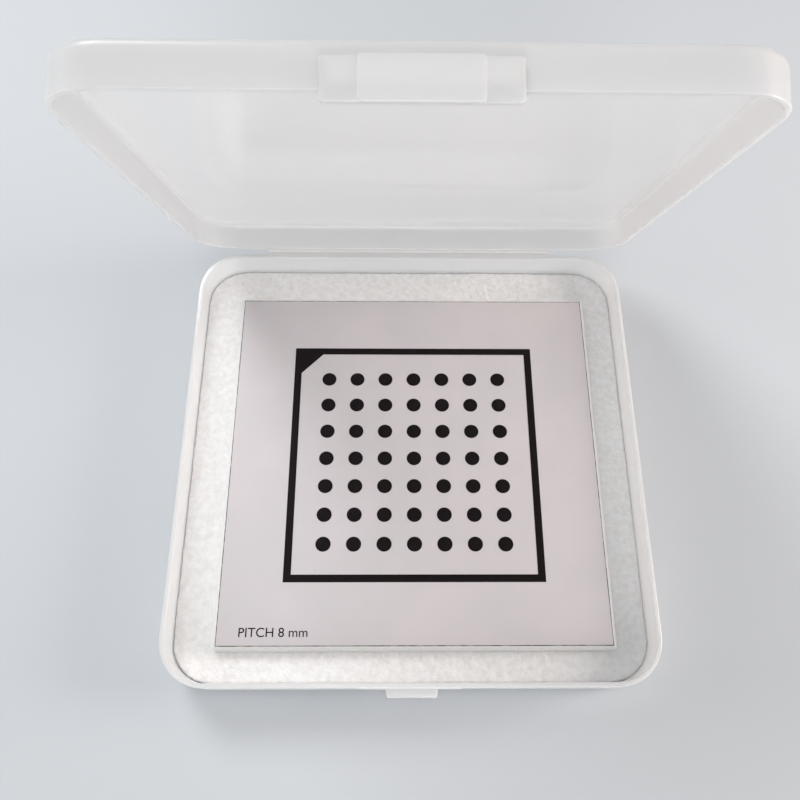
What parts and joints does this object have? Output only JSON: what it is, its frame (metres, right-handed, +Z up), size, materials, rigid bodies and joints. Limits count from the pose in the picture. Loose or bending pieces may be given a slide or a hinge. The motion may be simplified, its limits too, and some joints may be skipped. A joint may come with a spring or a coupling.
{
  "type": "calibration plate in flip-lid case",
  "caption": "Machine-vision calibration plate with a dot grid in a square border, lying on a foam pad in a translucent flip-lid storage case.",
  "frame": {"origin": "centre of the case's square footprint, on its flat underside", "axes": "+Z up, +Y towards the hinge at the back, -Y towards the latch at the front, +X to the right"},
  "size_m": [0.124, 0.1341, 0.1319],
  "materials": {
    "case_plastic": "milky translucent polypropylene, glossy inside, softly matt outside",
    "foam": "white closed-cell foam sheet with a fine fibrous skin",
    "plate_ceramic": "matt off-white ceramic",
    "mark_ink": "matt black print"
  },
  "bodies": {
    "base": {"case_base": "case_plastic", "foam_pad": "foam", "hinge_film": "case_plastic"},
    "lid": {"case_lid": "case_plastic"},
    "plate": {"target_plate": "plate_ceramic", "border_frame": "mark_ink", "corner_mark": "mark_ink", "dot_grid": "mark_ink"}
  },
  "joints": [
    {"name": "lid_hinge", "type": "hinge", "parent": "base", "child": "lid", "pos_m": [0, 0.0635, 0.013], "axis": [-1, 0, 0], "range_deg": [-66.8, 113.2]},
    {"name": "plate_lift", "type": "slide", "parent": "base", "child": "plate", "axis": [0, 0, 1], "range_m": [0, 0.03]}
  ]
}
